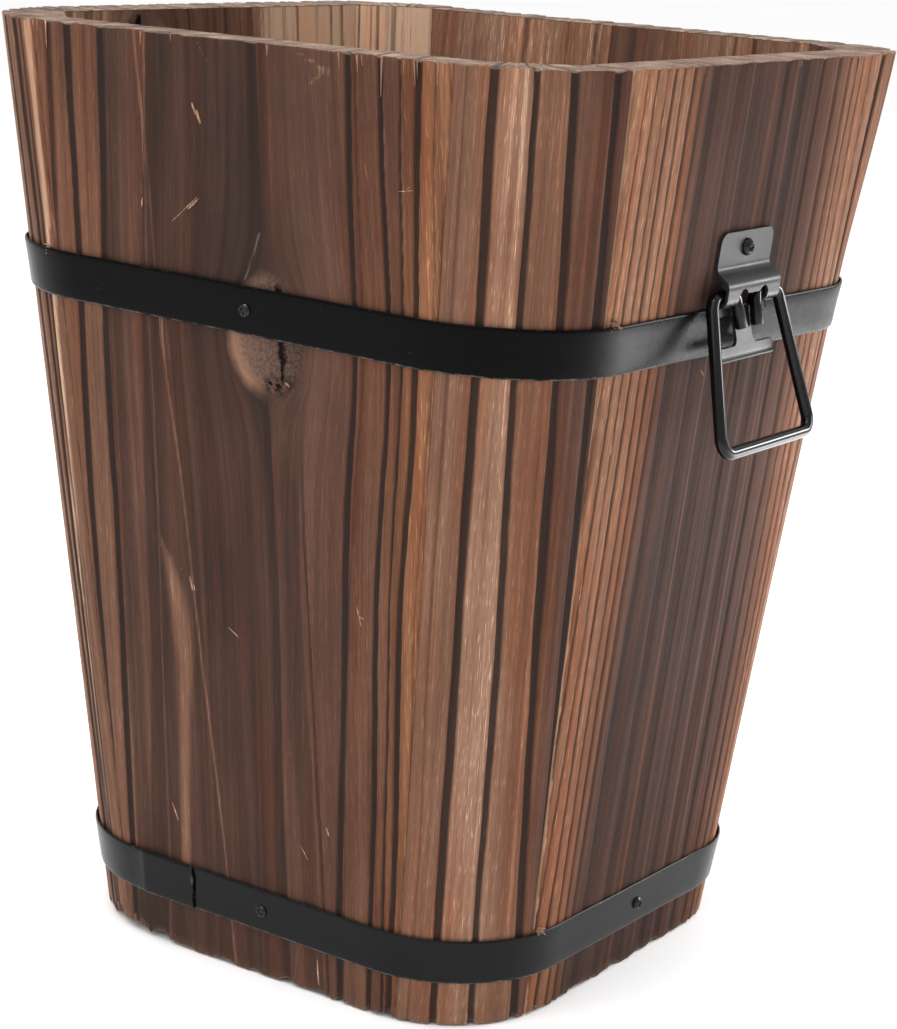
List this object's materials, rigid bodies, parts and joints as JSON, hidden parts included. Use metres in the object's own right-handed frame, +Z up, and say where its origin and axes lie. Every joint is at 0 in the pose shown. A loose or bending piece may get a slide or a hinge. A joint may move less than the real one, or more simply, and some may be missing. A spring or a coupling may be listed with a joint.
{
  "type": "wooden bucket planter",
  "caption": "Square tapered coopered wooden bucket planter with rounded corners, charred boards, black steel bands and swinging wire bails on folded brackets.",
  "frame": {"origin": "middle of the foot, on the ground", "axes": "+Z up; the front wall faces -Y; the handles are on the +X and -X walls"},
  "size_m": [0.25, 0.23, 0.3],
  "materials": {
    "charred_wood": "satin",
    "floor_wood": "matte",
    "nail_steel": "satin",
    "band_steel": "satin",
    "screw_steel": "satin",
    "bracket_steel": "satin",
    "bail_wire": "gloss"
  },
  "bodies": {
    "bucket": {"front_board": "charred_wood", "right_board": "charred_wood", "left_board": "charred_wood", "back_left_board": "charred_wood", "back_right_board": "charred_wood", "front_right_stave": "charred_wood", "back_right_stave": "charred_wood", "back_left_stave": "charred_wood", "front_left_stave": "charred_wood", "bottom_plank_front": "floor_wood", "bottom_plank_rear": "floor_wood", "bottom_nails": "nail_steel", "upper_band": "band_steel", "lower_band": "band_steel", "upper_band_screws": "screw_steel", "lower_band_screws": "screw_steel", "right_handle_bracket": "bracket_steel", "right_handle_screw": "screw_steel", "left_handle_bracket": "bracket_steel", "left_handle_screw": "screw_steel"},
    "right_handle": {"right_bail": "bail_wire"},
    "left_handle": {"left_bail": "bail_wire"}
  },
  "joints": [
    {"name": "right_bail_swing", "type": "hinge", "parent": "bucket", "child": "right_handle", "pos_m": [0.11093, 0.0025, 0.22902], "axis": [0, -1, 0], "range_deg": [0, 70]},
    {"name": "left_bail_swing", "type": "hinge", "parent": "bucket", "child": "left_handle", "pos_m": [-0.11093, -0.0025, 0.22902], "axis": [0, 1, 0], "range_deg": [0, 70]}
  ]
}
